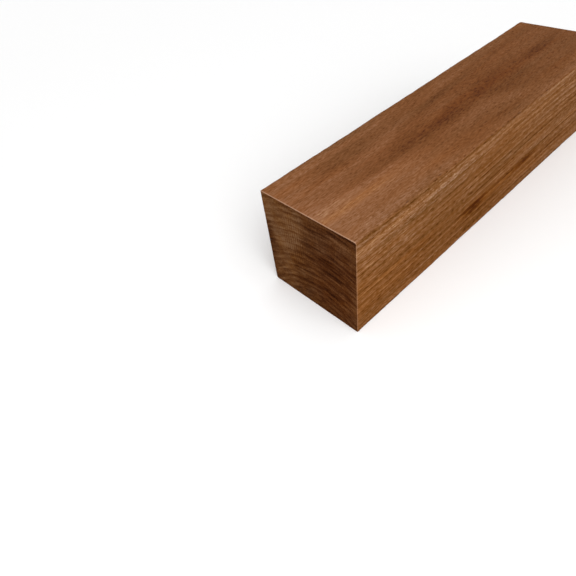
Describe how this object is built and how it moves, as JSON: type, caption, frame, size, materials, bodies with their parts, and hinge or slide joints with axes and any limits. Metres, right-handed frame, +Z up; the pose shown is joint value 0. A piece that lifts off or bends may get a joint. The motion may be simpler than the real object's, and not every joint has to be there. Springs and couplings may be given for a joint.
{
  "type": "wood turning blank",
  "caption": "Square length of planed dark hardwood with eased arrises and plain cross-cut ends, stock to be held between lathe centres and turned round.",
  "frame": {"origin": "middle of the underside, the long face that the blank lies on", "axes": "+X along the grain, from the end that the picture shows nearest to the end it cuts off; +Y across the width, away from the long side face that the picture shows; +Z up"},
  "size_m": [0.3048, 0.0762, 0.0762],
  "materials": {
    "planed_hardwood": "satin"
  },
  "bodies": {
    "root": {"turning_blank": "planed_hardwood"}
  },
  "joints": []
}
